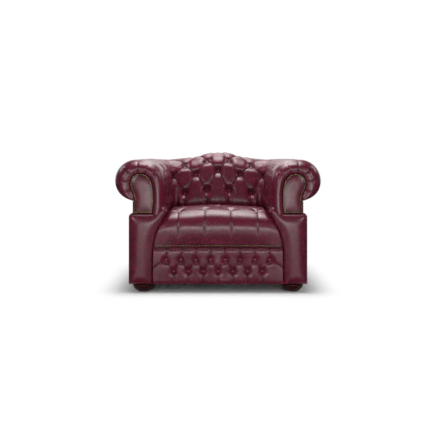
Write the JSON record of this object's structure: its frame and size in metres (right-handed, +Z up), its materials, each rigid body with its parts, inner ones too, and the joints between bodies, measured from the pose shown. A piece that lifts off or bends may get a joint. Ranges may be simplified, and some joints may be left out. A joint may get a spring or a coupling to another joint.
{
  "type": "chesterfield armchair",
  "caption": "Low-backed club armchair with rolled arms, deep-buttoned leather, sprung seat, scroll facings and bun feet.",
  "frame": {"origin": "on the floor under the middle of the chair's outline", "axes": "+X to the right as seen from in front, -Y towards the front, +Z up"},
  "size_m": [1.1496, 0.9298, 0.7745],
  "materials": {
    "leather": "satin",
    "frame": "matte",
    "feet": "satin",
    "nails": "satin",
    "steel": "satin",
    "canvas": "matte",
    "dust_cloth": "matte"
  },
  "bodies": {
    "root": {"inside_arm_right": "leather", "facing_right": "leather", "arm_front_panel_right": "leather", "outside_arm_right": "leather", "facing_nail_trim_right": "nails", "back_nail_trim_right": "nails", "front_post_right": "frame", "rear_post_right": "frame", "arm_top_rail_right": "frame", "side_rail_right": "frame", "arm_tacking_rail_right": "frame", "front_corner_block_right": "frame", "rear_corner_block_right": "frame", "front_foot_right": "feet", "front_foot_bolt_right": "steel", "front_glide_right": "steel", "rear_foot_right": "feet", "rear_foot_bolt_right": "steel", "rear_glide_right": "steel", "inside_arm_left": "leather", "facing_left": "leather", "arm_front_panel_left": "leather", "outside_arm_left": "leather", "facing_nail_trim_left": "nails", "back_nail_trim_left": "nails", "front_post_left": "frame", "rear_post_left": "frame", "arm_top_rail_left": "frame", "side_rail_left": "frame", "arm_tacking_rail_left": "frame", "front_corner_block_left": "frame", "rear_corner_block_left": "frame", "front_foot_left": "feet", "front_foot_bolt_left": "steel", "front_glide_left": "steel", "rear_foot_left": "feet", "rear_foot_bolt_left": "steel", "rear_glide_left": "steel", "inside_back": "leather", "seat_pad": "leather", "front_border": "leather", "outside_back": "leather", "front_nail_trim": "nails", "front_rail": "frame", "rear_rail": "frame", "seat_rear_rail": "frame", "back_top_rail": "frame", "back_centre_stile": "frame", "back_tacking_rail": "frame", "seat_spring_1": "steel", "seat_spring_2": "steel", "seat_spring_3": "steel", "seat_spring_4": "steel", "seat_spring_5": "steel", "seat_deck": "canvas", "back_webbing": "canvas", "dust_cover": "dust_cloth"}
  },
  "joints": []
}
